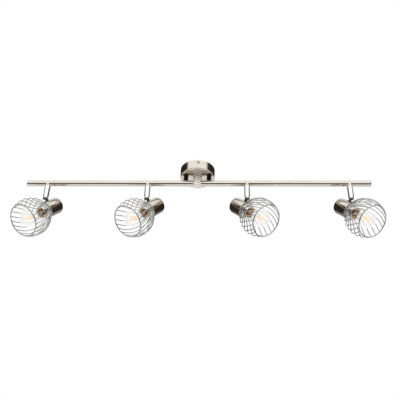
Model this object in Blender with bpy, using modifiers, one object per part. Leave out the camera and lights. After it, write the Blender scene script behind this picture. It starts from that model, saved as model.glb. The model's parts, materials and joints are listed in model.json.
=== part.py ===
"""Ceiling spotlight bar with four swivelling, tilting heads in round wire cages.

A round canopy holds a short post, the post holds a straight tube in two halves, and four
arms hang from the tube.  Each arm turns about a vertical axis, and its head tilts about a
horizontal screw at the arm's lower end.  Units are metres, +Z is up and the bar lies along X.
The origin is the centre of the mounting bracket's top face, which lies against the ceiling.

Every head is modelled about its own axis: local +Z runs out of the lamp's mouth, and local
zero is level with the tilt screw.
"""
import math

import bmesh
import bpy
from mathutils import Matrix, Vector

MM = 0.001
GAP = 0.3 * MM                     # clearance between pieces that touch

# Canopy, bracket and what they hold
CANOPY_RADIUS = 43.2 * MM
CANOPY_HEIGHT = 25.0 * MM
CANOPY_WALL = 1.2 * MM
CANOPY_EDGE = 1.6 * MM             # rounding between the side and the bottom disc
BRACKET_WIDTH = 18.0 * MM
BRACKET_THICKNESS = 1.6 * MM
BRACKET_REACH = 40.0 * MM          # centre to the outer face of a bent-down tab
TAB_WIDTH = 14.0 * MM
TAB_DROP = 13.0 * MM
SLOT_PLACE = 22.0 * MM             # centre of each ceiling screw slot, along Y
SLOT_SIZE = (5.0 * MM, 12.0 * MM)
SIDE_SCREW_DROP = 7.0 * MM         # side screw's axis, below the ceiling
SIDE_SCREW_TURN = math.radians(4.5)         # bracket and screw, about +Z
SIDE_SCREW_SHAFT = (1.6 * MM, 6.5 * MM)     # radius and length
SIDE_SCREW_HEAD = (3.2 * MM, 2.0 * MM)      # radius and height
SIDE_HOLE = 2.2 * MM
THREAD_RADIUS = 1.9 * MM
LOCATING_PEG = 1.6 * MM
TERMINAL_SIZE = (12.0 * MM, 26.0 * MM, 10.0 * MM)
TERMINAL_X = 17.0 * MM
TERMINAL_BEVEL = 0.6 * MM
POLE_PITCH = 8.0 * MM
WIRE_HOLE = (1.8 * MM, 4.0 * MM)            # radius, and height of its axis above the base
SCREW_WELL = (1.6 * MM, 7.0 * MM)           # radius, and height of its bottom above the base

# Bar, post and spacers
BAR_RADIUS = 7.5 * MM
BAR_WALL = 1.0 * MM
BAR_HALF_LENGTH = 430.0 * MM
BAR_DROP = 16.2 * MM               # canopy's bottom disc to the bar's axis
BAR_Z = -(CANOPY_HEIGHT + BAR_DROP)
BAR_INNER_END = 3.5 * MM
CAP_FLANGE = 1.5 * MM
CAP_PLUG = 6.0 * MM
POST_RADIUS = 11.2 * MM
POST_BOTTOM = BAR_Z - BAR_RADIUS - 1.0 * MM
POST_BORE = 3.2 * MM
POST_NECK = 5.0 * MM               # radius where the post passes through the canopy's disc
POST_RIVET = (7.0 * MM, 1.5 * MM)  # radius and thickness of its riveted end
SPACER_RADIUS = 6.0 * MM
SPACER_PLACE = 29.0 * MM
PEG_RADIUS = 2.5 * MM
LEAD_RADIUS = 2.0 * MM
LEAD_REACH = 368.0 * MM
LEAD_TOP = -16.0 * MM

# Arms: place along the bar, heading of the head about +Z, and its tilt below level
ARM_PLACES = (-377.0 * MM, -124.0 * MM, 124.0 * MM, 377.0 * MM)
HEADINGS = (231.8, 223.3, -39.5, -49.5)
TILTS = (46.4, 45.3, 42.0, 45.2)
CAGE_CLOCKS = (0.5, 0.75, 0.125, 0.375)     # turn of each cage, in wire pitches
ARM_RADIUS = 6.8 * MM
ARM_BORE = 5.5 * MM
ARM_LIP = 2.2 * MM                 # thickness of the lip that hangs on the boss
PIVOT_DROP = 44.4 * MM             # bar's axis to the tilt screw
ARM_TAIL = 2.6 * MM                # arm tube below the tilt screw
BOSS_RADIUS = 6.9 * MM
BOSS_BOTTOM = -9.0 * MM            # below the bar's axis
SPIGOT_RADIUS = 4.0 * MM
SPIGOT_HOLE = 4.2 * MM
SPIGOT_BORE = 2.8 * MM
SPIGOT_FLANGE = (4.7 * MM, 1.2 * MM)        # radius and thickness
BOSS_HOLE = 4.4 * MM               # in the underside of the bar
BOSS_BORE = 3.4 * MM
BOSS_TOP = -3.0 * MM               # before the bar is cut from it, below the bar's axis
SPIGOT_TOP = -5.0 * MM
FORK_GAP = 5.0 * MM
FORK_HEIGHT = 5.6 * MM             # slot above the tilt screw
SCREW_RADIUS = 1.5 * MM
SCREW_HOLE = 1.8 * MM
SCREW_PAN = (3.0 * MM, 1.6 * MM, 0.9 * MM)  # radius, height, and height of its straight side
SCREW_PAN_TOP = 2.0 * MM
SCREW_TAIL = (2.6 * MM, 1.0 * MM)           # radius and height of the riveted end

# Head: distances along its axis from the tilt screw's level, and radii about that axis
AXIS_OFFSET = 28.35 * MM           # tilt screw to the head's axis
CUP_RADIUS = 20.2 * MM
CUP_WALL = 1.2 * MM
CUP_EDGE = 1.2 * MM                # chamfer round the closed end
CUP_BACK = -23.5 * MM
CUP_FRONT = 18.0 * MM
TONGUE_WIDTH = 4.2 * MM
TONGUE_EYE = 4.2 * MM
TONGUE_PLACE = -0.4 * MM            # rivet's station along the head
TONGUE_SHANK = (-3.8 * MM, 3.1 * MM, -7.6 * MM)     # back, front and underside
FOOT_SPAN = (-5.4 * MM, 4.6 * MM)           # back and front of the saddle foot
FOOT_THICKNESS = 0.8 * MM
FOOT_HALF_WIDTH = 5.5 * MM
RIVET_HEAD = (3.6 * MM, 1.1 * MM)           # radius and thickness
SLEEVE_RADIUS = 14.0 * MM
SLEEVE_WALL = 1.1 * MM
SLEEVE_BACK = -2.0 * MM
SLEEVE_MOUTH = 37.0 * MM
HOLDER_RADIUS = 12.6 * MM
HOLDER_BACK = -14.0 * MM
HOLDER_FACE = 31.0 * MM
HOLDER_BORE = 8.2 * MM
HOLDER_FLOOR = 5.0 * MM            # bottom of its bore
RING_NUT = (17.6 * MM, 20.6 * MM, 25.6 * MM)        # radius, back, front

# Wire cage
CAGE_CENTRE = 70.0 * MM
CAGE_RADIUS = 45.3 * MM
CAGE_NECK = (18.6 * MM, 19.3 * MM)                  # radius and station of the wires' roots
CAGE_MOUTH = (38.9 * MM, 97.6 * MM)                 # radius and station of the front ring
CAGE_PLATE = (14.4 * MM, 19.8 * MM, 18.3 * MM, 20.3 * MM)
WIRE_COUNT = 22
WIRE_TWIST = math.radians(-52.0)
WIRE_SEGMENTS = 5
WIRE_RADIUS = 1.0 * MM
MOUTH_WIRE = 1.4 * MM

# Lamp
LAMP_CAP_RADIUS = 6.9 * MM
LAMP_CAP_WALL = 0.6 * MM
LAMP_CAP_FLOOR = (10.2 * MM, 11.6 * MM, 12.0 * MM)  # tip's root, inside, start of the side
LAMP_CAP_TIP = (2.4 * MM, 2.6 * MM, 8.0 * MM)       # radius at its end and root, end's station
LAMP_CAP_SKIRT = (7.6 * MM, 32.5 * MM, 33.5 * MM, 37.0 * MM)    # radius, flare's two ends, rim
LAMP_NECK_RADIUS = 5.9 * MM
GLOBE_RADIUS = 22.0 * MM
GLOBE_CENTRE = 77.0 * MM
GLASS_WALL = 0.8 * MM
GLASS_FOOT = 30.0 * MM             # neck's open end, inside the cap
GLASS_FLARE = ((3.6 * MM, 52.0 * MM), (0.5 * MM, 45.0 * MM), (0.0, 42.0 * MM))   # past the neck
BURNER_RADIUS = 4.5 * MM
BURNER_TIP = ((0.0, 90.0 * MM), (3.0 * MM, 88.5 * MM), (BURNER_RADIUS, 85.0 * MM))
BURNER_FOOT = 66.0 * MM
STEM = (1.6 * MM, 43.0 * MM, 62.0 * MM)     # radius, and stations of its two ends
STEM_FOOT = (3.4 * MM, 32.0 * MM, 40.0 * MM)


# ---------------------------------------------------------------- helpers

def clear_scene():
    """Remove every object, so that the script starts from an empty scene."""
    for obj in list(bpy.data.objects):
        bpy.data.objects.remove(obj, do_unlink=True)


def collection(name):
    """Make a collection and link it to the scene."""
    made = bpy.data.collections.new(name)
    bpy.context.scene.collection.children.link(made)
    return made


def linear(channel):
    """Turn one sRGB channel into linear light."""
    if channel <= 0.04045:
        return channel / 12.92
    return ((channel + 0.055) / 1.055) ** 2.4


def material(name, hex_colour, roughness, metallic, alpha=1.0):
    """Make a Principled material from an sRGB hex colour."""
    made = bpy.data.materials.new(name)
    made.use_nodes = True
    shader = made.node_tree.nodes["Principled BSDF"]
    red, green, blue = (int(hex_colour[i:i + 2], 16) / 255 for i in (0, 2, 4))
    shader.inputs["Base Color"].default_value = (linear(red), linear(green), linear(blue), 1.0)
    shader.inputs["Roughness"].default_value = roughness
    shader.inputs["Metallic"].default_value = metallic
    shader.inputs["Alpha"].default_value = alpha
    return made


def scratch_object(name, data):
    """Link mesh or curve data to the scene as a working object."""
    obj = bpy.data.objects.new(name, data)
    bpy.context.scene.collection.objects.link(obj)
    return obj


def baked(obj, name):
    """Return the object's evaluated mesh, welded and shaded by angle, and remove the object."""
    bpy.context.view_layer.update()
    evaluated = obj.evaluated_get(bpy.context.evaluated_depsgraph_get())
    mesh = bpy.data.meshes.new_from_object(evaluated)
    bpy.data.objects.remove(obj, do_unlink=True)
    welded = bmesh.new()
    welded.from_mesh(mesh)
    bmesh.ops.remove_doubles(welded, verts=welded.verts, dist=0.001 * MM)
    welded.to_mesh(mesh)
    welded.free()
    mesh.name = name
    mesh.shade_smooth()
    mesh.set_sharp_from_angle(angle=math.radians(35))
    return mesh


def turned(name, profile, sides, ring=False):
    """Turn a (radius, height) profile about Z.  Its outer side runs from top to bottom.

    A ring's profile is a closed loop clear of the axis; any other starts and ends on it.
    """
    mesh = bpy.data.meshes.new(name)
    count = len(profile)
    edges = [(i, (i + 1) % count) for i in range(count if ring else count - 1)]
    mesh.from_pydata([(radius, 0.0, height) for radius, height in profile], edges, [])
    obj = scratch_object(name, mesh)
    screw = obj.modifiers.new("Screw", "SCREW")
    screw.axis = "Z"
    screw.steps = sides
    screw.render_steps = sides
    screw.use_merge_vertices = True
    screw.merge_threshold = 0.01 * MM
    return baked(obj, name)


def rod(name, radius, start, end, sides=10):
    """Make a cylinder between two points."""
    start = Vector(start)
    end = Vector(end)
    span = end - start
    turn = span.to_track_quat("Z", "Y").to_matrix().to_4x4()
    shape = bmesh.new()
    bmesh.ops.create_cone(shape, cap_ends=True, segments=sides, radius1=radius, radius2=radius,
                          depth=span.length, matrix=Matrix.Translation((start + end) / 2) @ turn)
    mesh = bpy.data.meshes.new(name)
    shape.to_mesh(mesh)
    shape.free()
    return mesh


def block(name, low, high, bevel=0.0):
    """Make a box between two corners, with its edges bevelled if asked."""
    low = Vector(low)
    high = Vector(high)
    size = Matrix.Diagonal((*(high - low), 1.0))
    shape = bmesh.new()
    bmesh.ops.create_cube(shape, size=1.0, matrix=Matrix.Translation((low + high) / 2) @ size)
    if bevel:
        bmesh.ops.bevel(shape, geom=shape.edges[:], offset=bevel, segments=1, affect="EDGES")
    mesh = bpy.data.meshes.new(name)
    shape.to_mesh(mesh)
    shape.free()
    return mesh


def combined(name, base, changes):
    """Apply Booleans to a mesh: each change is a pair of operation and mesh."""
    obj = scratch_object(name, base)
    tools = []
    for operation, mesh in changes:
        tool = scratch_object("cutter_" + mesh.name, mesh)
        tool.hide_render = True
        tool.display_type = "WIRE"
        tools.append(tool)
        boolean = obj.modifiers.new(operation, "BOOLEAN")
        boolean.operation = operation
        boolean.solver = "EXACT"
        boolean.object = tool
    mesh = baked(obj, name)
    for tool in tools:
        bpy.data.objects.remove(tool, do_unlink=True)
    return mesh


def add_piece(name, mesh, finish, parent=None, place=None):
    """Add one sub-part to the fixture, with its own material, under its parent empty."""
    obj = bpy.data.objects.new(name, mesh)
    fixture.objects.link(obj)
    if not mesh.materials:
        mesh.materials.append(finish)
    obj.parent = parent
    if place is not None:
        obj.matrix_local = place
    return obj


def add_empty(name, location, rotation, parent=None):
    """Add an empty whose origin and axes are those of a joint."""
    empty = bpy.data.objects.new(name, None)
    empty.empty_display_size = 10 * MM
    fixture.objects.link(empty)
    empty.parent = parent
    empty.location = location
    empty.rotation_euler = rotation
    return empty


# ---------------------------------------------------------------- canopy

def canopy_cup():
    """Round cup, open towards the ceiling, with holes for the post, spacers, screw and peg."""
    top = -GAP
    bottom = -CANOPY_HEIGHT
    inner = CANOPY_RADIUS - CANOPY_WALL
    floor = bottom + CANOPY_WALL
    profile = [(0.0, floor), (inner, floor), (inner, top), (CANOPY_RADIUS, top),
               (CANOPY_RADIUS, bottom + CANOPY_EDGE),
               (CANOPY_RADIUS - CANOPY_EDGE, bottom), (0.0, bottom)]
    changes = [("DIFFERENCE", rod("post_hole", POST_NECK + GAP, (0, 0, bottom - MM),
                                  (0, 0, floor + MM)))]
    for side in (-1, 1):
        x = side * SPACER_PLACE
        changes.append(("DIFFERENCE", rod("peg_hole", PEG_RADIUS + GAP, (x, 0, bottom - MM),
                                          (x, 0, floor + MM))))
        hole = rod("side_hole", SIDE_HOLE, (0, side * (CANOPY_RADIUS - 4 * MM), -SIDE_SCREW_DROP),
                   (0, side * (CANOPY_RADIUS + 4 * MM), -SIDE_SCREW_DROP))
        hole.transform(Matrix.Rotation(SIDE_SCREW_TURN, 4, "Z"))
        changes.append(("DIFFERENCE", hole))
    blank = turned("canopy_blank", profile, 36)
    keep_off = math.radians(2)     # keeps the blank's edges off the holes' corners
    blank.transform(Matrix.Rotation(keep_off, 4, "Z"))
    return combined("canopy_cup", blank, changes)


def ceiling_bracket():
    """Flat strap with two screw slots and bent-down tabs: one threaded, one with a peg."""
    half = BRACKET_WIDTH / 2
    strap = block("strap", (-half, -BRACKET_REACH, -BRACKET_THICKNESS), (half, BRACKET_REACH, 0))
    changes = []
    for side in (-1, 1):
        inner = side * (BRACKET_REACH - BRACKET_THICKNESS)
        outer = side * BRACKET_REACH
        low = (-TAB_WIDTH / 2, min(inner, outer), -TAB_DROP)
        high = (TAB_WIDTH / 2, max(inner, outer), -BRACKET_THICKNESS / 2)
        changes.append(("UNION", block("tab", low, high)))
        width, length = SLOT_SIZE
        y = side * SLOT_PLACE
        changes.append(("DIFFERENCE", block("slot", (-width / 2, y - length / 2, -5 * MM),
                                            (width / 2, y + length / 2, 5 * MM))))
    changes.append(("DIFFERENCE", rod("thread", THREAD_RADIUS,
                                      (0, -BRACKET_REACH - 5 * MM, -SIDE_SCREW_DROP),
                                      (0, -BRACKET_REACH + 5 * MM, -SIDE_SCREW_DROP))))
    changes.append(("UNION", rod("peg", LOCATING_PEG, (0, BRACKET_REACH - MM, -SIDE_SCREW_DROP),
                                 (0, CANOPY_RADIUS, -SIDE_SCREW_DROP))))
    bracket = combined("ceiling_bracket", strap, changes)
    bracket.transform(Matrix.Rotation(SIDE_SCREW_TURN, 4, "Z"))
    return bracket


def canopy_screw():
    """Pan-head screw along +Z from the head's seat at zero, with a slot across its head."""
    shaft_radius, shaft_length = SIDE_SCREW_SHAFT
    head_radius, head_height = SIDE_SCREW_HEAD
    profile = [(0.0, head_height), (0.7 * head_radius, head_height),
               (head_radius, 0.55 * head_height), (head_radius, 0.0),
               (shaft_radius, 0.0), (shaft_radius, -shaft_length), (0.0, -shaft_length)]
    slot = block("slot", (-2 * head_radius, -0.35 * MM, 0.6 * head_height),
                 (2 * head_radius, 0.35 * MM, 2 * head_height))
    return combined("canopy_screw", turned("screw_blank", profile, 14), [("DIFFERENCE", slot)])


def terminal_block():
    """Three-pole connector block with a wire hole through each pole and a screw well above."""
    width, length, height = TERMINAL_SIZE
    floor = -CANOPY_HEIGHT + CANOPY_WALL + GAP
    low = (TERMINAL_X - width / 2, -length / 2, floor)
    high = (TERMINAL_X + width / 2, length / 2, floor + height)
    hole_radius, hole_height = WIRE_HOLE
    well_radius, well_height = SCREW_WELL
    z = floor + hole_height
    changes = []
    for pole in (-1, 0, 1):
        y = pole * POLE_PITCH
        changes.append(("DIFFERENCE", rod("wire_hole", hole_radius, (low[0] - MM, y, z),
                                          (high[0] + MM, y, z), 8)))
        changes.append(("DIFFERENCE", rod("screw_well", well_radius,
                                          (TERMINAL_X, y, floor + well_height),
                                          (TERMINAL_X, y, high[2] + MM), 8)))
    return combined("terminal_block", block("terminal_blank", low, high, TERMINAL_BEVEL), changes)


# ---------------------------------------------------------------- bar

def centre_post():
    """Hollow post riveted through the canopy's disc, cross-bored for both bar halves."""
    top = -CANOPY_HEIGHT - GAP
    floor = -CANOPY_HEIGHT + CANOPY_WALL + GAP
    rivet_radius, rivet_thickness = POST_RIVET
    rivet_top = floor + rivet_thickness
    profile = [(0.0, BAR_Z), (POST_BORE, BAR_Z), (POST_BORE, rivet_top), (rivet_radius, rivet_top),
               (rivet_radius, floor), (POST_NECK, floor), (POST_NECK, top), (POST_RADIUS, top),
               (POST_RADIUS, POST_BOTTOM), (0.0, POST_BOTTOM)]
    reach = 1.5 * POST_RADIUS
    bore = rod("cross_bore", BAR_RADIUS + GAP, (-reach, 0, BAR_Z), (reach, 0, BAR_Z), 24)
    return combined("centre_post", turned("post_blank", profile, 24), [("DIFFERENCE", bore)])


def bar_half(name, side):
    """One half of the bar: a tube with two holes in its underside for the swivel bosses."""
    inner = BAR_RADIUS - BAR_WALL
    near = BAR_INNER_END
    far = BAR_HALF_LENGTH - CAP_FLANGE - GAP
    tube = turned("tube", [(inner, near), (inner, far), (BAR_RADIUS, far), (BAR_RADIUS, near)],
                  24, ring=True)
    tube.transform(Matrix.Translation((0, 0, BAR_Z)) @ Matrix.Rotation(side * math.pi / 2, 4, "Y"))
    changes = []
    for x in ARM_PLACES:
        if x * side > 0:
            changes.append(("DIFFERENCE", rod("boss_hole", BOSS_HOLE, (x, 0, BAR_Z - 12 * MM),
                                              (x, 0, BAR_Z - 2 * MM), 16)))
    return combined(name, tube, changes)


def end_cap(name, side):
    """Plug with a thin flange that closes the bar's outer end."""
    plug = BAR_RADIUS - BAR_WALL - GAP
    face = BAR_HALF_LENGTH
    seat = face - CAP_FLANGE
    profile = [(0.0, face), (BAR_RADIUS - 0.5 * MM, face), (BAR_RADIUS, face - 0.5 * MM),
               (BAR_RADIUS, seat), (plug, seat), (plug, seat - CAP_PLUG), (0.0, seat - CAP_PLUG)]
    cap = turned(name, profile, 24)
    cap.transform(Matrix.Translation((0, 0, BAR_Z)) @ Matrix.Rotation(side * math.pi / 2, 4, "Y"))
    return cap


def spacer():
    """Bush between the canopy and the bar: a peg at the top and a saddle at the bottom."""
    top = -CANOPY_HEIGHT - GAP
    peg_top = -CANOPY_HEIGHT + CANOPY_WALL + 1.5 * MM
    profile = [(0.0, peg_top), (PEG_RADIUS, peg_top), (PEG_RADIUS, top), (SPACER_RADIUS, top),
               (SPACER_RADIUS, BAR_Z), (0.0, BAR_Z)]
    saddle = rod("saddle", BAR_RADIUS + GAP, (-10 * MM, 0, BAR_Z), (10 * MM, 0, BAR_Z), 24)
    return combined("spacer", turned("spacer_blank", profile, 16), [("DIFFERENCE", saddle)])


def bar_wiring():
    """Mains lead that runs along both halves of the bar and up through the post."""
    run = rod("run", LEAD_RADIUS, (-LEAD_REACH, 0, BAR_Z), (LEAD_REACH, 0, BAR_Z), 10)
    riser = rod("riser", 0.9 * LEAD_RADIUS, (0, 0, BAR_Z), (0, 0, LEAD_TOP), 10)
    return combined("bar_wiring", run, [("UNION", riser)])


# ---------------------------------------------------------------- arms

def swivel_boss():
    """Boss seated on the bar, with a flanged spigot that the arm hangs and turns on."""
    flange_radius, flange_thickness = SPIGOT_FLANGE
    seat = turned("seat", [(BOSS_BORE, BOSS_BOTTOM), (BOSS_BORE, BOSS_TOP), (BOSS_RADIUS, BOSS_TOP),
                           (BOSS_RADIUS, BOSS_BOTTOM)], 14, ring=True)
    bar = rod("bar", BAR_RADIUS + GAP, (-10 * MM, 0, 0), (10 * MM, 0, 0), 24)
    seat = combined("seat", seat, [("DIFFERENCE", bar)])
    flange_top = BOSS_BOTTOM - ARM_LIP - 2 * GAP
    flange_bottom = flange_top - flange_thickness
    spigot = turned("spigot", [(SPIGOT_BORE, flange_bottom), (SPIGOT_BORE, SPIGOT_TOP),
                               (SPIGOT_RADIUS, SPIGOT_TOP), (SPIGOT_RADIUS, flange_top),
                               (flange_radius, flange_top), (flange_radius, flange_bottom)],
                    14, ring=True)
    return combined("swivel_boss", spigot, [("UNION", seat)])


def arm_tube():
    """Straight tube with a lip at the top and a fork at the bottom.  Zero is the tilt screw."""
    top = PIVOT_DROP + BOSS_BOTTOM - GAP
    profile = [(SPIGOT_HOLE, top - ARM_LIP), (SPIGOT_HOLE, top), (ARM_RADIUS, top),
               (ARM_RADIUS, -ARM_TAIL), (ARM_BORE, -ARM_TAIL), (ARM_BORE, top - ARM_LIP)]
    slot = block("fork_slot", (-10 * MM, -FORK_GAP / 2, -10 * MM),
                 (10 * MM, FORK_GAP / 2, FORK_HEIGHT))
    hole = rod("screw_hole", SCREW_HOLE, (0, -10 * MM, 0), (0, 10 * MM, 0), 8)
    return combined("arm_tube", turned("arm_blank", profile, 16, ring=True),
                    [("DIFFERENCE", slot), ("DIFFERENCE", hole)])


def tilt_screw():
    """Screw across the fork, with a pan head on one side and a riveted end on the other."""
    seat = ARM_RADIUS + GAP
    pan_radius, pan_height, pan_side = SCREW_PAN
    tail_radius, tail_height = SCREW_TAIL
    profile = [(0.0, seat + pan_height), (SCREW_PAN_TOP, seat + pan_height),
               (pan_radius, seat + pan_side), (pan_radius, seat), (SCREW_RADIUS, seat),
               (SCREW_RADIUS, -seat), (tail_radius, -seat), (tail_radius, -seat - tail_height),
               (0.0, -seat - tail_height)]
    screw = turned("tilt_screw", profile, 10)
    screw.transform(Matrix.Rotation(math.pi / 2, 4, "X"))
    return screw


def build_arms():
    """Add the four arms and their joint empties.  Return the empties that the heads tilt on."""
    tube = arm_tube()
    screw = tilt_screw()
    boss = swivel_boss()
    tilts = []
    for number, (x, heading, tilt) in enumerate(zip(ARM_PLACES, HEADINGS, TILTS), start=1):
        add_piece(f"swivel_boss_{number}", boss, nickel, place=Matrix.Translation((x, 0, BAR_Z)))
        swivel = add_empty(f"swivel_{number}", (x, 0, BAR_Z), (0, 0, math.radians(heading)))
        tilted = add_empty(f"tilt_{number}", (0, 0, -PIVOT_DROP), (0, math.radians(tilt), 0), swivel)
        at_pivot = Matrix.Translation((0, 0, -PIVOT_DROP))
        add_piece(f"arm_tube_{number}", tube, chrome, swivel, at_pivot)
        add_piece(f"tilt_screw_{number}", screw, steel, swivel, at_pivot)
        tilts.append(tilted)
    return tilts


# ---------------------------------------------------------------- heads

def tongue():
    """Eye, shank, saddle foot and rivet, in the tilt empty's axes: +X forward, +Z off the cup."""
    half = TONGUE_WIDTH / 2
    back, front, underside = TONGUE_SHANK
    foot_back, foot_front = FOOT_SPAN
    eye = rod("eye", TONGUE_EYE, (0, -half, 0), (0, half, 0), 14)
    shank = block("shank", (back, -half, underside), (front, half, -MM))
    foot = rod("foot", CUP_RADIUS + GAP + FOOT_THICKNESS, (foot_back, 0, -AXIS_OFFSET),
               (foot_front, 0, -AXIS_OFFSET), 48)
    strip = block("strip", (foot_back - 5 * MM, -FOOT_HALF_WIDTH, -AXIS_OFFSET / 2),
                  (foot_front + 5 * MM, FOOT_HALF_WIDTH, 0))
    cup = rod("cup", CUP_RADIUS + GAP, (foot_back - 5 * MM, 0, -AXIS_OFFSET),
              (foot_front + 5 * MM, 0, -AXIS_OFFSET), 48)
    foot = combined("foot", foot, [("INTERSECT", strip), ("DIFFERENCE", cup)])
    inside = CUP_RADIUS - CUP_WALL - MM - AXIS_OFFSET
    head_radius, head_thickness = RIVET_HEAD
    rivet = rod("rivet", PEG_RADIUS, (TONGUE_PLACE, 0, inside - head_thickness / 2),
                (TONGUE_PLACE, 0, underside + 0.6 * MM), 10)
    rivet_head = rod("rivet_head", head_radius, (TONGUE_PLACE, 0, inside - head_thickness),
                     (TONGUE_PLACE, 0, inside), 10)
    hole = rod("screw_hole", SCREW_HOLE, (0, -10 * MM, 0), (0, 10 * MM, 0), 8)
    return combined("tongue", eye, [("UNION", shank), ("UNION", foot), ("UNION", rivet),
                                    ("UNION", rivet_head), ("DIFFERENCE", hole)])


def head_cup():
    """Thin-walled cup, closed at the back, with one rivet hole in its upper side."""
    inner = CUP_RADIUS - CUP_WALL
    profile = [(0.0, CUP_BACK + CUP_WALL), (inner, CUP_BACK + CUP_WALL), (inner, CUP_FRONT),
               (CUP_RADIUS, CUP_FRONT), (CUP_RADIUS, CUP_BACK + CUP_EDGE),
               (CUP_RADIUS - CUP_EDGE, CUP_BACK), (0.0, CUP_BACK)]
    hole = rod("rivet_hole", PEG_RADIUS + GAP, (-25 * MM, 0, TONGUE_PLACE),
               (-15 * MM, 0, TONGUE_PLACE))
    return combined("head_cup", turned("cup_blank", profile, 24), [("DIFFERENCE", hole)])


def lamp_sleeve():
    """Chromed tube round the lampholder, open at both ends."""
    inner = SLEEVE_RADIUS - SLEEVE_WALL
    return turned("lamp_sleeve", [(inner, SLEEVE_BACK), (inner, SLEEVE_MOUTH),
                                  (SLEEVE_RADIUS, SLEEVE_MOUTH), (SLEEVE_RADIUS, SLEEVE_BACK)],
                  20, ring=True)


def lampholder():
    """Insulating body with a blind bore for the lamp's screw cap."""
    return turned("lampholder", [(0.0, HOLDER_FLOOR), (HOLDER_BORE, HOLDER_FLOOR),
                                 (HOLDER_BORE, HOLDER_FACE), (HOLDER_RADIUS, HOLDER_FACE),
                                 (HOLDER_RADIUS, HOLDER_BACK), (0.0, HOLDER_BACK)], 20)


def ring_nut():
    """Ring nut that clamps the cage's plate against the cup."""
    radius, back, front = RING_NUT
    inner = SLEEVE_RADIUS + 2 * GAP
    return turned("ring_nut", [(inner, back), (inner, front), (radius, front), (radius, back)],
                  20, ring=True)


def cage_point(part_way, start_angle):
    """Point on a cage wire: part_way is 0 at its root and 1 at the front ring.

    The wires lie on a sphere about CAGE_CENTRE that reaches out to the neck at one end and to
    the front ring at the other, and each wire turns by WIRE_TWIST about the axis on its way.
    """
    neck_radius, neck_place = CAGE_NECK
    mouth_radius, mouth_place = CAGE_MOUTH
    neck_angle = math.atan2(neck_radius, neck_place - CAGE_CENTRE)
    mouth_angle = math.atan2(mouth_radius, mouth_place - CAGE_CENTRE)
    neck_reach = math.hypot(neck_radius, neck_place - CAGE_CENTRE) - CAGE_RADIUS
    mouth_reach = math.hypot(mouth_radius, mouth_place - CAGE_CENTRE) - CAGE_RADIUS
    angle = neck_angle + (mouth_angle - neck_angle) * part_way
    reach = CAGE_RADIUS + neck_reach * (1 - part_way) ** 8 + mouth_reach * part_way ** 4
    radius = reach * math.sin(angle)
    around = start_angle + WIRE_TWIST * part_way
    along = CAGE_CENTRE + reach * math.cos(angle)
    return (radius * math.cos(around), radius * math.sin(around), along)


def wire_section():
    """Three-sided section of a cage wire, as a closed flat curve."""
    outline = bpy.data.curves.new("wire_section", "CURVE")
    spline = outline.splines.new("POLY")
    spline.points.add(2)
    spline.use_cyclic_u = True
    for corner, point in enumerate(spline.points):
        angle = -corner * math.tau / 3
        point.co = (WIRE_RADIUS * math.cos(angle), WIRE_RADIUS * math.sin(angle), 0.0, 1.0)
    return scratch_object("wire_section", outline)


def cage():
    """Neck plate, twisted wires and front ring, joined into one body."""
    wires = bpy.data.curves.new("wires", "CURVE")
    wires.dimensions = "3D"
    wires.bevel_mode = "OBJECT"
    wires.bevel_object = wire_section()
    wires.use_fill_caps = True
    for wire in range(WIRE_COUNT):
        spline = wires.splines.new("POLY")
        spline.points.add(WIRE_SEGMENTS)
        for step, point in enumerate(spline.points):
            place = cage_point(step / WIRE_SEGMENTS, wire * math.tau / WIRE_COUNT)
            point.co = (*place, 1.0)
    section = wires.bevel_object
    wires = baked(scratch_object("wires", wires), "wires")
    bpy.data.objects.remove(section, do_unlink=True)
    mouth_radius, mouth_place = CAGE_MOUTH
    bpy.ops.mesh.primitive_torus_add(major_segments=26, minor_segments=4,
                                     major_radius=mouth_radius, minor_radius=MOUTH_WIRE,
                                     location=(0, 0, mouth_place))
    ring_object = bpy.context.object
    ring_mesh = ring_object.data
    ring_mesh.transform(ring_object.matrix_world)
    bpy.data.objects.remove(ring_object, do_unlink=True)
    inner, outer, back, front = CAGE_PLATE
    plate = turned("plate", [(inner, back), (inner, front), (outer, front), (outer, back)], 20,
                   ring=True)
    return combined("cage", plate, [("UNION", wires), ("UNION", ring_mesh)])


def lamp_cap():
    """Screw cap of the lamp: a thin cup with a contact tip and a skirt."""
    inner = LAMP_CAP_RADIUS - LAMP_CAP_WALL
    outside, inside, side = LAMP_CAP_FLOOR
    end_radius, root_radius, end = LAMP_CAP_TIP
    skirt, flare_back, flare_front, rim = LAMP_CAP_SKIRT
    return turned("lamp_cap", [(0.0, inside), (inner, inside), (inner, rim), (skirt, rim),
                               (skirt, flare_front), (LAMP_CAP_RADIUS, flare_back),
                               (LAMP_CAP_RADIUS, side), (root_radius, outside),
                               (end_radius, end), (0.0, end)], 12)


def glass_outline(radius, neck_radius):
    """Outline of the globe and its neck, from the tip to the neck's open end."""
    outline = [(0.0, GLOBE_CENTRE + radius)]
    for degrees in (45, 90, 135):
        angle = math.radians(degrees)
        outline.append((radius * math.sin(angle), GLOBE_CENTRE + radius * math.cos(angle)))
    outline += [(neck_radius + wider, place) for wider, place in GLASS_FLARE]
    outline.append((neck_radius, GLASS_FOOT))
    return outline


def lamp_glass():
    """Frosted round glass bulb, open at the neck where it sits in the screw cap."""
    outer = glass_outline(GLOBE_RADIUS, LAMP_NECK_RADIUS)
    inner = glass_outline(GLOBE_RADIUS - GLASS_WALL, LAMP_NECK_RADIUS - GLASS_WALL)
    return turned("lamp_glass", outer + inner[::-1], 14)


def lamp_burner():
    """Glass stem and the small burner capsule that stands on it inside the globe."""
    stem_radius, stem_back, stem_front = STEM
    foot_radius, foot_back, foot_front = STEM_FOOT
    return turned("lamp_burner", [*BURNER_TIP, (BURNER_RADIUS, BURNER_FOOT),
                                  (stem_radius, stem_front), (stem_radius, stem_back),
                                  (foot_radius, foot_front), (foot_radius, foot_back),
                                  (0.0, foot_back)], 8)


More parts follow.
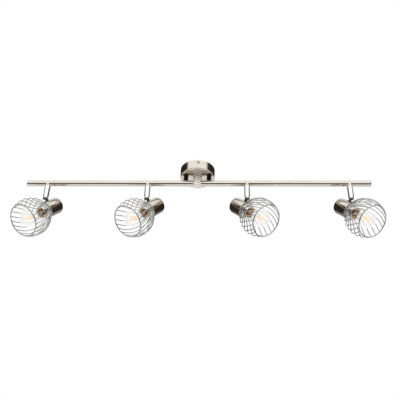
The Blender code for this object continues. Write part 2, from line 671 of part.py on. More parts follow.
def build_heads(tilts):
    """Add the pieces of each head under its tilt empty."""
    shared = ((tongue(), "tongue", bronze), (head_cup(), "head_cup", nickel),
              (lamp_sleeve(), "lamp_sleeve", chrome), (lampholder(), "lampholder", amber),
              (ring_nut(), "ring_nut", chrome), (cage(), "cage", chrome),
              (lamp_cap(), "lamp_cap", brass), (lamp_glass(), "lamp_glass", glass),
              (lamp_burner(), "lamp_burner", opal))
    along_head = Matrix.Translation((0, 0, -AXIS_OFFSET)) @ Matrix.Rotation(math.pi / 2, 4, "Y")
    pitch = math.tau / WIRE_COUNT
    for number, (tilt, clock) in enumerate(zip(tilts, CAGE_CLOCKS), start=1):
        for mesh, name, finish in shared:
            place = along_head
            if name == "tongue":
                place = Matrix.Identity(4)
            elif name == "cage":
                place = along_head @ Matrix.Rotation(clock * pitch, 4, "Z")
            add_piece(f"{name}_{number}", mesh, finish, tilt, place)


# ---------------------------------------------------------------- the whole fixture

def build_canopy():
    """Add the canopy, its bracket and screw, and the terminal block inside."""
    add_piece("canopy_cup", canopy_cup(), nickel)
    add_piece("ceiling_bracket", ceiling_bracket(), steel)
    seat = Matrix.Translation((0, -CANOPY_RADIUS - GAP, -SIDE_SCREW_DROP))
    place = (Matrix.Rotation(SIDE_SCREW_TURN, 4, "Z") @ seat
             @ Matrix.Rotation(math.pi / 2, 4, "X"))
    add_piece("canopy_screw", canopy_screw(), steel, place=place)
    add_piece("terminal_block", terminal_block(), opal)


def build_bar():
    """Add the post, both halves of the bar, their end caps, the spacers and the wiring."""
    add_piece("centre_post", centre_post(), nickel)
    bush = spacer()
    for word, side in (("left", -1), ("right", 1)):
        add_piece(f"bar_{word}", bar_half(f"bar_{word}", side), nickel)
        add_piece(f"end_cap_{word}", end_cap(f"end_cap_{word}", side), nickel)
        add_piece(f"spacer_{word}", bush, black,
                  place=Matrix.Translation((side * SPACER_PLACE, 0, 0)))
    add_piece("bar_wiring", bar_wiring(), black)


clear_scene()
fixture = collection("spotlight_bar")
nickel = material("satin_nickel", "C9BFB4", 0.28, 1.0)
chrome = material("chrome", "D4D6D8", 0.08, 1.0)
steel = material("zinc_plated_steel", "B4B6B4", 0.35, 1.0)
bronze = material("dark_bronze", "4A4138", 0.35, 1.0)
brass = material("brass", "C7A25A", 0.3, 1.0)
amber = material("amber_plastic", "8A5A22", 0.4, 0.0)
black = material("black_plastic", "1E1A1E", 0.35, 0.0)
opal = material("white_plastic", "EDE8DC", 0.4, 0.0)
glass = material("frosted_glass", "F6F5F4", 0.5, 0.0, 0.6)
build_canopy()
build_bar()
build_heads(build_arms())
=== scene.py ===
"""Looks of a ceiling spotlight bar: a canopy, a post, a bar and four lamps in wire cages.

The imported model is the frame.  Every piece below is a surface of two parameters, worked out as
whole arrays in metres, and put where the frame's nodes and joints say.  +Z is up, the bar lies
along X and the fixture is looked at from -Y.  A head's pieces are made about the head's own
axis, with +Z out of the lamp's mouth and zero level with the tilt screw.
"""
import json
import math

import bmesh
import bpy
import numpy as np
from mathutils import Matrix


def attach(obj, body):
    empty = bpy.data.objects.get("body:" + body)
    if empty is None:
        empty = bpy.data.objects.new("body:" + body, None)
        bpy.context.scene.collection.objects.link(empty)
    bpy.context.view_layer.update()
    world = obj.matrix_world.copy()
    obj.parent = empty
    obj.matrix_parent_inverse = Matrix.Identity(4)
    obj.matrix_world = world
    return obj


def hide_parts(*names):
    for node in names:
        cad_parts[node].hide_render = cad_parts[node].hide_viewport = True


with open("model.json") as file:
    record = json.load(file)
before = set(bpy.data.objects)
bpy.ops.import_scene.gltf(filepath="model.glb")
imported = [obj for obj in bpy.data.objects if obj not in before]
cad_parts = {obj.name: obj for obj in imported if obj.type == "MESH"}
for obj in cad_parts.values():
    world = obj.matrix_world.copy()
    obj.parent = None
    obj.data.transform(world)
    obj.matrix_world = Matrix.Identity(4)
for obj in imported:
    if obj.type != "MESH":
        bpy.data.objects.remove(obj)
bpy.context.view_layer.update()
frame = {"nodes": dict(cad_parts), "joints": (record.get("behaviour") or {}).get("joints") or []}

MM = 0.001
TAU = math.tau
HOLD = 0.15                  # distance of a shading guard from an edge, mm
SIDES = 96                   # columns round a large turned piece
WELD = 0.002                 # points closer than this are one, mm
BEVEL_ANGLE = math.radians(40)                  # sharper edges are rounded

HEAD_CHORDS = 26             # chords of a slotted head on each side of its slot
HEAD_POINTS = 14             # points along each chord
HEAD_FALL = 0.45             # how much lower a slotted head is at its edge, as a share
SLOT_WALL = 0.01             # width of the slot's steep wall, mm


# ---------------------------------------------------------------- reading the frame

def corners(node, place=None):
    """Lowest and highest corner of a CAD node in mm, in the axes of a place."""
    mesh = frame["nodes"][node].data
    flat = np.empty(len(mesh.vertices) * 3)
    mesh.vertices.foreach_get("co", flat)
    points = flat.reshape(-1, 3)
    if place is not None:
        back = np.linalg.inv(place)
        points = points @ back[:3, :3].T + back[:3, 3]
    return points.min(0) / MM, points.max(0) / MM


def shifted(x, y, z):
    """Matrix of a move, in metres."""
    made = np.eye(4)
    made[:3, 3] = (x, y, z)
    return made


def spun(axis, angle):
    """Matrix of a turn about X, Y or Z."""
    return np.array(Matrix.Rotation(angle, 4, axis))


# ---------------------------------------------------------------- outlines

def arc(centre, radius, start, stop, count):
    """Points of a circle between two angles in degrees."""
    angle = np.radians(np.linspace(start, stop, count))
    return np.stack([centre[0] + radius * np.cos(angle), centre[1] + radius * np.sin(angle)], 1)


def rounded(path, closed=False, steps=5):
    """Outline through corners (x, y, radius), with an arc that touches both sides at each.

    The arc's centre lies on the corner's bisector, a radius over the sine of the half angle away.
    """
    path = np.asarray(path, float)
    made = []
    for number, (x, y, radius) in enumerate(path):
        here = np.array([x, y])
        if radius == 0:
            made.append(here[None])
            continue
        before = path[number - 1, :2] - here
        after = path[(number + 1) % len(path), :2] - here
        before /= np.linalg.norm(before)
        after /= np.linalg.norm(after)
        half = math.acos(np.clip(before @ after, -1, 1)) / 2
        middle = (before + after) / np.linalg.norm(before + after)
        centre = here + middle * radius / math.sin(half)
        start, stop = (here + side * radius / math.tan(half) - centre for side in (before, after))
        first = math.atan2(start[1], start[0])
        sweep = (math.atan2(stop[1], stop[0]) - first + math.pi) % TAU - math.pi
        angle = first + sweep * np.linspace(0, 1, steps + 1)
        made.append(centre + radius * np.stack([np.cos(angle), np.sin(angle)], 1))
    return held(np.concatenate(made), closed)


def held(outline, closed=False):
    """Outline with a guard point near both ends of each long side, so that flats shade flat."""
    following = np.roll(outline, -1, 0)
    step = following - outline
    length = np.linalg.norm(step, axis=1)
    made = []
    for number in range(len(outline)):
        made.append(outline[number])
        if length[number] > 4 * HOLD and (closed or number < len(outline) - 1):
            guard = step[number] / length[number] * HOLD
            made += [outline[number] + guard, following[number] - guard]
    return np.array(made)


# ---------------------------------------------------------------- shells

def shell(grid, ring=False):
    """Quads between the neighbours of a (rows, columns, 3) grid in mm, with a map in mm.

    The map's first number is the way round and its second the way along the rows, both as arc
    lengths.  Rows whose points all meet are poles, welded later.
    """
    rows, columns = grid.shape[:2]
    row = np.arange(rows if ring else rows - 1)[:, None]
    column = np.arange(columns)[None]
    next_row = (row + 1) % rows
    next_column = (column + 1) % columns
    quads = np.stack([row * columns + column, row * columns + next_column,
                      next_row * columns + next_column, next_row * columns + column], -1)
    along_step = np.linalg.norm(np.roll(grid, -1, 0) - grid, axis=2).mean(1)
    along = np.concatenate([[0], np.cumsum(along_step)])
    girth = np.linalg.norm(np.roll(grid, -1, 1) - grid, axis=2).sum(1).max()
    round_step = girth / columns
    u = np.stack([column, column + 1, column + 1, column], -1) * round_step + 0 * row[..., None]
    v = np.stack([along[row], along[row], along[row + 1], along[row + 1]], -1) + 0 * u
    return grid.reshape(-1, 3), quads.reshape(-1, 4), np.stack([u, v], -1).reshape(-1, 4, 2)


def turned(profile, sides=SIDES, ring=False):
    """Shell of a (radius, height) profile: radius times cosine and sine of the way round."""
    angle = TAU * np.arange(sides) / sides
    radius = profile[:, :1]
    height = np.repeat(profile[:, 1:], sides, 1)
    return shell(np.stack([radius * np.cos(angle), radius * np.sin(angle), height], 2), ring=ring)


def swept(path, normal, radius, sides=10, ring=False):
    """Tube along a path of points: each ring is the point plus the radius times the cosine of
    the way round along the normal and its sine along the binormal.  Open ends are domed."""
    tangent = np.gradient(path, axis=0)
    if ring:
        tangent = np.roll(path, -1, 0) - np.roll(path, 1, 0)
    tangent /= np.linalg.norm(tangent, axis=1, keepdims=True)
    radius = np.broadcast_to(radius, len(path))
    if not ring:
        dome = np.radians([90.0, 60.0, 30.0])
        reach = np.sin(dome)[:, None] * radius[0]
        head = path[0] - tangent[0] * reach
        tail = (path[-1] + tangent[-1] * reach)[::-1]
        path = np.concatenate([head, path, tail])
        tangent = np.concatenate([tangent[:1].repeat(3, 0), tangent, tangent[-1:].repeat(3, 0)])
        normal = np.concatenate([normal[:1].repeat(3, 0), normal, normal[-1:].repeat(3, 0)])
        shrink = np.cos(dome) * radius[0]
        radius = np.concatenate([shrink, radius, shrink[::-1]])
    across = normal - (normal * tangent).sum(1, keepdims=True) * tangent
    across /= np.linalg.norm(across, axis=1, keepdims=True)
    binormal = np.cross(tangent, across)
    angle = TAU * np.arange(sides) / sides
    grid = (path[:, None] + radius[:, None, None]
            * (np.cos(angle)[None, :, None] * across[:, None]
               + np.sin(angle)[None, :, None] * binormal[:, None]))
    return shell(grid, ring=ring)


def slab(outline, width, edge, steps=3):
    """Plate of a closed (x, z) outline, width thick along Y, with its edges rounded.

    Each row is the outline drawn in along its own normal by the edge less its sine share, at a
    depth that follows the cosine; the flats close on the outline's middle point.
    """
    step = np.roll(outline, -1, 0) - np.roll(outline, 1, 0)
    normal = np.stack([step[:, 1], -step[:, 0]], 1)
    normal /= np.linalg.norm(normal, axis=1, keepdims=True)
    middle = outline.mean(0)
    if ((outline - middle) * normal).sum() < 0:
        normal = -normal
    turn = np.linspace(0, math.pi / 2, steps + 1)
    inset = np.concatenate([[edge + HOLD], edge * (1 - np.sin(turn))])
    depth = np.concatenate([[0], edge * (1 - np.cos(turn))])
    rows = [np.repeat(middle[None], len(outline), 0)]
    rows += [outline - normal * amount for amount in inset]
    places = np.concatenate([[0], depth]) - width / 2
    rows = np.array(rows + rows[::-1])
    places = np.concatenate([places, -places[::-1]])
    deep = np.repeat(places[:, None], len(outline), 1)
    return shell(np.stack([rows[..., 0], deep, rows[..., 1]], 2))


def bent(made, change):
    """A shell with its points changed by a function of x, y and z."""
    points, quads, chart = made
    return np.stack(change(*points.T), 1), quads, chart


def slotted_head(radius, height, slot, depth):
    """Pan head with a slot along X: chords of a disc, each as long as the circle allows.

    The top's height falls with the fourth power of the distance from the middle, less the
    slot's depth between its two walls, and the underside is flat at zero.
    """
    half = slot / 2
    side = np.sin(np.linspace(0, math.pi / 2, HEAD_CHORDS))[1:] * (radius - half) + half
    side = np.concatenate([[half], [half + SLOT_WALL], side])
    chord = np.concatenate([-side[::-1], side])
    across = np.sin(np.linspace(-math.pi / 2, math.pi / 2, HEAD_POINTS))
    across = np.concatenate([across, across[::-1]])
    x = across[None] * np.sqrt(np.maximum(radius**2 - chord**2, 0))[:, None]
    y = np.repeat(chord[:, None], len(across), 1)
    share = np.minimum((x**2 + y**2) / radius**2, 1)
    top = height * (1 - HEAD_FALL * share**2) - depth * (np.abs(y) <= half)
    z = np.where(np.arange(len(across)) < HEAD_POINTS, top, 0.0)
    return shell(np.stack([x, y, z], 2))


# ---------------------------------------------------------------- pieces

def piece(name, shells, finish, body, node=None, place=None, thickness=0.0, bevel=0.0):
    """Make one object from shells in mm, ride it on its body and let it stand for its node.

    A closed shell whose volume comes out negative is turned the right way round first.
    """
    starts = np.cumsum([0] + [len(points) for points, _, _ in shells])
    sides = []
    for points, quads, _ in shells:
        corner = (points - points.mean(0))[quads]
        volume = (np.cross(corner[:, 1], corner[:, 2]) * corner[:, 0]).sum()
        volume += (np.cross(corner[:, 2], corner[:, 3]) * corner[:, 0]).sum()
        sides.append(slice(None) if volume > 0 else slice(None, None, -1))
    points = np.concatenate([points for points, _, _ in shells]) * MM
    quads = np.concatenate([quads[:, side] + start
                            for (_, quads, _), side, start in zip(shells, sides, starts)])
    chart = np.concatenate([chart[:, side] for (_, _, chart), side in zip(shells, sides)])
    if place is not None:
        points = points @ place[:3, :3].T + place[:3, 3]
    mesh = bpy.data.meshes.new(name)
    mesh.from_pydata(points.tolist(), [], quads.tolist())
    layer = mesh.uv_layers.new(name="surface_mm")
    layer.uv.foreach_set("vector", chart.reshape(-1))
    welded = bmesh.new()
    welded.from_mesh(mesh)
    bmesh.ops.remove_doubles(welded, verts=welded.verts, dist=WELD * MM)
    welded.to_mesh(mesh)
    welded.free()
    mesh.shade_smooth()
    mesh.materials.append(finish)
    made = bpy.data.objects.new(name, mesh)
    bpy.context.scene.collection.objects.link(made)
    if thickness:
        wall = made.modifiers.new("wall", "SOLIDIFY")
        wall.thickness = thickness * MM
        wall.offset = -1.0
        wall.use_even_offset = True
    if bevel:
        edge = made.modifiers.new("edge", "BEVEL")
        edge.width = bevel * MM
        edge.segments = 3
        edge.limit_method = "ANGLE"
        edge.angle_limit = BEVEL_ANGLE
        edge.harden_normals = False
    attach(made, body)
    if node:
        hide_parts(node)
    return made


# ---------------------------------------------------------------- materials

GLASS_RUN = 83.9             # from a bulb's top down its outside to its foot, mm
BALL_RUN = (40.0, 60.0)      # where on that way the ball's haze starts to thin, and ends
NECK_SHARE = 0.04            # the neck's cover, as a share of the ball's
FACE_SHARE = 0.65            # the cover seen face on, as a share of the cover seen edge on
BLOWN_WAVE = 0.05            # height of the glass's waves, mm


def linear(code):
    """Linear colour of an sRGB hex code."""
    value = np.array([int(code[i:i + 2], 16) for i in (0, 2, 4)]) / 255
    made = np.where(value <= 0.04045, value / 12.92, ((value + 0.055) / 1.055) ** 2.4)
    return (*made.tolist(), 1.0)


def add(tree, kind, inputs=None, **settings):
    """Add a node with its settings, and give each input a value or another node's output."""
    made = tree.nodes.new(kind)
    for name, value in settings.items():
        setattr(made, name, value)
    for name, value in (inputs or {}).items():
        if isinstance(value, bpy.types.NodeSocket):
            tree.links.new(value, made.inputs[name])
        else:
            made.inputs[name].default_value = value
    return made


def surface(name, **constants):
    """A new material, its tree and its shader, with the shader's constant inputs set."""
    made = bpy.data.materials.new(name)
    made.use_nodes = True
    made.node_tree.nodes.clear()
    tree = made.node_tree
    shader = add(tree, "ShaderNodeBsdfPrincipled",
                 {key.replace("_", " "): value for key, value in constants.items()})
    add(tree, "ShaderNodeOutputMaterial", {"Surface": shader.outputs[0]})
    return made, tree, shader


def streaked_metal(name, dark, light, low, high, lines, depth):
    """Metal with fine lines from its belt or its lathe.

    lines is the spacing in lines per mm, round the piece and along it; it tints the metal from
    dark to light, spreads its roughness from low to high and scratches it by depth mm.
    """
    made, tree, shader = surface(name, Metallic=1.0)
    chart = add(tree, "ShaderNodeUVMap", uv_map="surface_mm")
    line = add(tree, "ShaderNodeMapping", {"Vector": chart.outputs[0], "Scale": (*lines, 1.0)})
    streak = add(tree, "ShaderNodeTexNoise", {"Vector": line.outputs[0], "Scale": 1.0,
                                              "Detail": 3.0, "Roughness": 0.6})
    place = add(tree, "ShaderNodeTexCoord")
    cloud = add(tree, "ShaderNodeTexNoise", {"Vector": place.outputs["Object"], "Scale": 45.0,
                                             "Detail": 2.0})
    both = add(tree, "ShaderNodeMath", {0: streak.outputs["Fac"], 1: cloud.outputs["Fac"]},
               operation="ADD")
    tone = add(tree, "ShaderNodeMapRange", {"Value": both.outputs[0], "From Min": 0.7,
                                            "From Max": 1.3})
    colour = add(tree, "ShaderNodeMix", {"Factor": tone.outputs[0], "A": linear(dark),
                                         "B": linear(light)}, data_type="RGBA")
    rough = add(tree, "ShaderNodeMapRange", {"Value": both.outputs[0], "From Min": 0.7,
                                             "From Max": 1.3, "To Min": low, "To Max": high})
    relief = add(tree, "ShaderNodeBump", {"Height": streak.outputs["Fac"], "Strength": 1.0,
                                          "Distance": depth * MM})
    tree.links.new(colour.outputs["Result"], shader.inputs["Base Color"])
    tree.links.new(rough.outputs[0], shader.inputs["Roughness"])
    tree.links.new(relief.outputs[0], shader.inputs["Normal"])
    return made


def cloudy(name, dark, light, low, high, grain, depth, **constants):
    """Finish without lines: grain is the size in mm of its faint clouds and of its relief."""
    made, tree, shader = surface(name, **constants)
    place = add(tree, "ShaderNodeTexCoord")
    cloud = add(tree, "ShaderNodeTexNoise", {"Vector": place.outputs["Object"],
                                             "Scale": 1 / (grain * MM), "Detail": 3.0})
    colour = add(tree, "ShaderNodeMix", {"Factor": cloud.outputs["Fac"], "A": linear(dark),
                                         "B": linear(light)}, data_type="RGBA")
    rough = add(tree, "ShaderNodeMapRange", {"Value": cloud.outputs["Fac"], "From Min": 0.3,
                                             "From Max": 0.7, "To Min": low, "To Max": high})
    relief = add(tree, "ShaderNodeBump", {"Height": cloud.outputs["Fac"], "Strength": 1.0,
                                          "Distance": depth * MM})
    tree.links.new(colour.outputs["Result"], shader.inputs["Base Color"])
    tree.links.new(rough.outputs[0], shader.inputs["Roughness"])
    tree.links.new(relief.outputs[0], shader.inputs["Normal"])
    return made


# Nickel plate over belt-brushed steel: warm grey, with soft streaks round each turned piece.
nickel = streaked_metal("brushed_nickel_plate", "C9C1B5", "DAD3C8", 0.10, 0.17, (0.02, 0.9),
                        0.0005)
# The same plate on drawn tube, whose faint lines run along it.
tube_nickel = streaked_metal("nickel_plated_tube", "CBC4B8", "D9D2C8", 0.03, 0.06, (0.9, 0.01),
                             0.0001)
# Nickel-coloured pearl lacquer on the post: it hardly mirrors what stands around it.
pearl = cloudy("nickel_pearl_lacquer", "EFEAE1", "F9F5EE", 0.3, 0.4, 3.0, 0.001, Metallic=0.3)
# Bright chrome over polished steel: a neutral mirror with faint handling marks.
chrome = cloudy("bright_chrome_plate", "E4E4E2", "F0F0EE", 0.03, 0.08, 9.0, 0.001, Metallic=1.0)
# Chrome over drawn wire, dulled by its welding and plating rack.
wire_chrome = cloudy("chromed_cage_wire", "A2A29E", "C0C0BB", 0.08, 0.2, 3.0, 0.004, Metallic=1.0)
# Zinc-plated screw steel: warm grey with a faint spangle.
zinc = cloudy("zinc_plated_steel", "A3A09B", "C2BFBA", 0.25, 0.4, 1.2, 0.01, Metallic=1.0)
# Bronze lacquer on a die-cast strap, rubbed lighter on its high spots.
bronze = cloudy("bronze_lacquered_casting", "5E554A", "8A7F71", 0.22, 0.38, 0.8, 0.015,
                Metallic=1.0)
# Aged brass of the lamp's cap: brown gold with a dull shine.
brass = cloudy("lamp_cap_brass", "6E4F22", "9A743A", 0.2, 0.35, 1.5, 0.008, Metallic=1.0)
# Black moulded bush: near black, with a clear gloss.
black = cloudy("glossy_black_moulding", "0C0A0C", "1E1A1F", 0.08, 0.2, 4.0, 0.01)
# PVC sheath of the internal leads: matt charcoal.
sheath = cloudy("pvc_lead_sheath", "1B1B1C", "2B2B2D", 0.35, 0.5, 1.5, 0.02)
# Polyamide terminal block: warm white with a soft sheen.
polyamide = cloudy("white_polyamide", "D9D4C8", "EFEBE2", 0.35, 0.5, 3.0, 0.02)
# Amber phenolic lampholder: tan and glossy, with a painted glow, a faint warm emission that stands
# in for the lit lamp's light in its deep bore.
amber_painted_glow = cloudy("amber_phenolic_painted_glow", "B98A42", "F6DFAE", 0.12, 0.25, 5.0, 0.02,
               Emission_Strength=0.22, Emission_Color=linear("C49A5A"))


def clear_glass(name, most):
    """Blown bulb glass, drawn as a thin skin that the lamp lights from inside.

    It is a faint warm haze over the lit middle, greyer where it is seen edge on, and nearly
    nothing at the neck.  most is its cover seen edge on.  The map runs down the outside of a bulb
    and back up the inside.
    """
    made, tree, shader = surface(name, IOR=1.5, Roughness=0.05, Emission_Strength=1.0,
                                 Base_Color=linear("2A2A2C"))
    chart = add(tree, "ShaderNodeUVMap", uv_map="surface_mm")
    split = add(tree, "ShaderNodeSeparateXYZ", {"Vector": chart.outputs[0]})
    down = add(tree, "ShaderNodeMath", {0: split.outputs["Y"], 1: GLASS_RUN},
               operation="PINGPONG")
    ball = add(tree, "ShaderNodeMapRange", {"Value": down.outputs[0],
                                            "From Min": BALL_RUN[0], "From Max": BALL_RUN[1],
                                            "To Min": 1.0, "To Max": NECK_SHARE},
               interpolation_type="SMOOTHSTEP")
    edge = add(tree, "ShaderNodeLayerWeight", {"Blend": 0.5})
    skin = add(tree, "ShaderNodeMapRange", {"Value": edge.outputs["Facing"], "From Min": 0.1,
                                            "From Max": 0.9, "To Min": FACE_SHARE * most,
                                            "To Max": most}, interpolation_type="SMOOTHSTEP")
    cover = add(tree, "ShaderNodeMath", {0: skin.outputs[0], 1: ball.outputs[0]},
                operation="MULTIPLY")
    place = add(tree, "ShaderNodeTexCoord")
    wave = add(tree, "ShaderNodeTexNoise", {"Vector": place.outputs["Object"], "Scale": 60.0})
    relief = add(tree, "ShaderNodeBump", {"Height": wave.outputs["Fac"], "Strength": 1.0,
                                          "Distance": BLOWN_WAVE * MM})
    far = add(tree, "ShaderNodeMapRange", {"Value": edge.outputs["Facing"], "From Min": 0.02,
                                           "From Max": 0.3}, interpolation_type="SMOOTHSTEP")
    glow = add(tree, "ShaderNodeMix", {"Factor": far.outputs[0], "A": linear("FFF3E2"),
                                       "B": linear("E8E8E8")}, data_type="RGBA")
    tree.links.new(glow.outputs["Result"], shader.inputs["Emission Color"])
    tree.links.new(cover.outputs[0], shader.inputs["Alpha"])
    tree.links.new(relief.outputs[0], shader.inputs["Normal"])
    return made


def lit_quartz():
    """Frosted quartz capsule that glows warm white, and warmer away from its round end."""
    made, tree, shader = surface("lit_quartz_capsule", Roughness=0.3, Emission_Strength=0.85,
                                 Base_Color=linear("4A4540"))
    chart = add(tree, "ShaderNodeUVMap", uv_map="surface_mm")
    split = add(tree, "ShaderNodeSeparateXYZ", {"Vector": chart.outputs[0]})
    glow = add(tree, "ShaderNodeMapRange", {"Value": split.outputs["Y"], "From Min": 6.0,
                                            "From Max": 16.0}, interpolation_type="SMOOTHSTEP")
    colour = add(tree, "ShaderNodeMix", {"Factor": glow.outputs[0], "A": linear("F6E2C6"),
                                         "B": linear("EFCB9A")}, data_type="RGBA")
    tree.links.new(colour.outputs["Result"], shader.inputs["Emission Color"])
    return made


glass = clear_glass("blown_bulb_glass", 0.46)
stem_glass = clear_glass("pressed_stem_glass", 0.12)
quartz = lit_quartz()


# ---------------------------------------------------------------- canopy, post and bar

RING_SIDES = 48              # columns of a small turned piece whose rows aren't all level
BAR_GAP = 0.05               # between the bar's skin and a piece that stands on it, mm

CANOPY_WALL = 1.2
SCREW_LIFT = 0.3             # underside of the side screw's head, off the cup
SIDE_SCREW_HEAD = (3.2, 2.0, 0.8, 0.9)          # radius, height, slot's width and depth
SIDE_SCREW_SHANK = (1.6, 6.2)                   # radius and length
POST_BORE = (3.2, 9.0)       # radius, and where it ends over the post's foot
POST_RIVET = (7.0, 1.5)      # radius and thickness of the flange inside the cup
POST_NECK = 5.0              # radius through the cup's floor
POST_GAP = 0.3               # between the cup's floor and the post's shoulder

BAR_WALL = 1.0
CAP_SEAT = 0.1               # gap between the tube's end and the cap's flange
CAP_PLUG = (1.3, 5.8)        # how much slimmer than the tube it is, and its length
BUSH_PEG = (2.5, 2.6)        # radius and height of the peg in the cup's floor
BUSH_HOLE = 2.0              # radius of the hole over the bar


def bar_height(radius, bar_radius):
    """Height of the bar's skin over its axis under each column of a ring: the root of the bar's
    radius squared less the square of the column's distance from the axis."""
    across = radius * np.sin(TAU * np.arange(RING_SIDES) / RING_SIDES)
    return np.sqrt(np.maximum(bar_radius**2 - across**2, 0))


def stacked(rings):
    """Grid of circles (radius, height), whose height is one number or one for each column."""
    angle = TAU * np.arange(RING_SIDES) / RING_SIDES
    return np.array([np.stack([radius * np.cos(angle), radius * np.sin(angle),
                               height + 0 * angle], 1) for radius, height in rings])


def build_canopy():
    """Spun cup with a rolled edge, its side screw, and the post that stands on its disc."""
    low, high = corners("canopy_cup")
    radius, bottom, top = high[0], low[2], high[2]
    inside = radius - CANOPY_WALL
    floor = bottom + CANOPY_WALL
    profile = rounded([(0, floor, 0), (inside, floor, 1.0), (inside, top, 0.3),
                       (radius, top, 0.5), (radius, bottom, 1.6), (0, bottom, 0)], steps=6)
    piece("canopy_spinning", [turned(profile, 144)], nickel, "root", "canopy_cup")

    low, high = corners("canopy_screw")
    turn = math.asin((low[0] + high[0]) / 2 / radius)
    out = spun("Z", turn) @ shifted(0, (-radius - SCREW_LIFT) * MM, (low[2] + high[2]) / 2 * MM)
    thick, length = SIDE_SCREW_SHANK
    shank = rounded([(0, 0.2, 0), (thick, 0.2, 0), (thick, -length, 0.4), (0, -length, 0)])
    place = out @ spun("X", math.pi / 2) @ spun("Z", math.radians(30))
    piece("canopy_side_screw", [slotted_head(*SIDE_SCREW_HEAD), turned(shank, 24)], zinc, "root",
          "canopy_screw", place)

    low, high = corners("centre_post")
    radius, foot, top = high[0], low[2], high[2]
    bore, bore_end = POST_BORE
    rivet, flange = POST_RIVET
    shoulder = bottom - POST_GAP
    profile = rounded([(0, foot + bore_end, 0), (bore, foot + bore_end, 0), (bore, top, 0.3),
                       (rivet, top, 0.3), (rivet, top - flange, 0.3),
                       (POST_NECK, top - flange, 0), (POST_NECK, shoulder, 0),
                       (radius, shoulder, 0.4), (radius, foot, 0.8), (0, foot, 0)])
    piece("post_turning", [turned(profile)], pearl, "root", "centre_post")


def build_bar(word, side):
    """One length of plated tube with its end cap."""
    low, high = corners(f"bar_{word}")
    radius = (high[2] - low[2]) / 2
    axis = (high[2] + low[2]) / 2
    near, far = sorted((abs(low[0]), abs(high[0])))
    along_x = shifted(0, 0, axis * MM) @ spun("Y", side * math.pi / 2)
    inside = radius - BAR_WALL
    profile = rounded([(inside, near, 0.2), (radius, near, 0.2), (radius, far, 0.2),
                       (inside, far, 0.2)], closed=True, steps=3)
    piece(f"bar_tube_{word}", [turned(profile, 64, ring=True)], tube_nickel, "root",
          f"bar_{word}", along_x)

    low, high = corners(f"end_cap_{word}")
    seat = far + CAP_SEAT
    face = max(abs(low[0]), abs(high[0]))
    flange = radius - BAR_GAP
    plug = radius - CAP_PLUG[0]
    end = seat - CAP_PLUG[1]
    profile = rounded([(0, face, 0), (flange, face, 1.1), (flange, seat, 0.15), (plug, seat, 0),
                       (plug, end, 0.4), (0, end, 0)])
    piece(f"bar_end_plug_{word}", [turned(profile, 64)], nickel, "root", f"end_cap_{word}",
          along_x)


def build_bush(word):
    """Black bush between the cup and the bar: a peg at the top and a saddle at its foot."""
    bar_low, bar_high = corners(f"bar_{word}")
    bar_radius = (bar_high[2] - bar_low[2]) / 2
    axis = (bar_high[2] + bar_low[2]) / 2
    cup_low, _ = corners("canopy_cup")
    low, high = corners(f"spacer_{word}")
    wide = (high[0] - low[0]) / 2
    foot = bar_height(wide, bar_radius + BAR_GAP)
    hole = bar_height(BUSH_HOLE, bar_radius + BAR_GAP)
    top = cup_low[2] - 0.1 - axis
    peg, rise = BUSH_PEG
    rings = [(0, top + rise), (peg - 0.2, top + rise), (peg, top + rise - 0.2), (peg, top),
             (wide - 0.5, top), (wide - 0.15, top - 0.15), (wide, top - 0.5), (wide, top - 1.0),
             (wide, foot + 1.0), (wide, foot + 0.4), (wide - 0.15, foot + 0.1),
             (BUSH_HOLE, hole + 0.1), (0, bar_radius + 0.1)]
    middle = (low[0] + high[0]) / 2
    piece(f"bush_{word}", [shell(stacked(rings))], black, "root", f"spacer_{word}",
          shifted(middle * MM, 0, axis * MM))


# ---------------------------------------------------------------- arms

FORK_GAP = 5.0               # width of the fork's slot, mm
FORK_HEIGHT = 5.6            # top of the slot over the tilt axis
FORK_TIP = 1.9               # round of the fork's lower end
ARM_LIP = 4.3                # radius of the hole at the arm's top
ARM_WALL = 1.2
BOSS_BORE = 3.4              # radius through the bar's skin
BOSS_DEEP = 9.0              # shoulder of the boss under the bar's axis
SPIGOT = (4.0, 4.7, 2.8)     # radii of its neck, its flange and its bore
SPIGOT_ENDS = (-11.8, -13.0, -6.0)              # flange's top and foot, and the bore's top
TILT_HEAD = (3.0, 0.7, 0.7)  # radius, slot's width and slot's depth
TILT_SHANK = 1.5             # radius
TILT_TAIL = 2.6              # radius of the riveted end
TILT_ENDS = 2.6              # heights of the head and of the riveted end together


def arm_sheet(radius, top, bottom):
    """Outer skin of the arm: a turned outline whose columns stop at the fork's slot.

    Columns stand at the angles whose sine is half the gap over the radius, so that the slot's
    walls are straight; the skin's faces between them and below the slot's top are left out.
    """
    edge = math.asin(FORK_GAP / 2 / radius)
    spread = [np.linspace(-edge, edge, 11)[:-1], np.linspace(edge, math.pi - edge, 17)[:-1]]
    angle = np.concatenate([spread[0], spread[1], spread[0] + math.pi, spread[1] + math.pi])
    dome = arc((radius - FORK_TIP, bottom + FORK_TIP), FORK_TIP, 0, -80, 6)
    edge_round = arc((radius - 0.6, top - 0.6), 0.6, 90, 0, 5)
    profile = np.concatenate([
        [(ARM_LIP, top), (ARM_LIP + 0.2, top), (radius - 0.75, top)], edge_round,
        [(radius, top - 0.8), (radius, FORK_HEIGHT + 0.2), (radius, FORK_HEIGHT),
         (radius, FORK_HEIGHT - 0.2)], dome])
    grid = np.stack([profile[:, :1] * np.cos(angle), profile[:, :1] * np.sin(angle),
                     np.repeat(profile[:, 1:], len(angle), 1)], 2)
    points, quads, chart = shell(grid)
    middle = points[quads].mean(1)
    beside = np.abs(middle[:, 1]) < radius * math.sin(edge)
    facing = np.abs(np.sin(np.arctan2(middle[:, 1], middle[:, 0]))) < math.sin(edge)
    keep = ~(beside & facing & (middle[:, 2] < FORK_HEIGHT))
    return points, quads[keep], chart[keep]


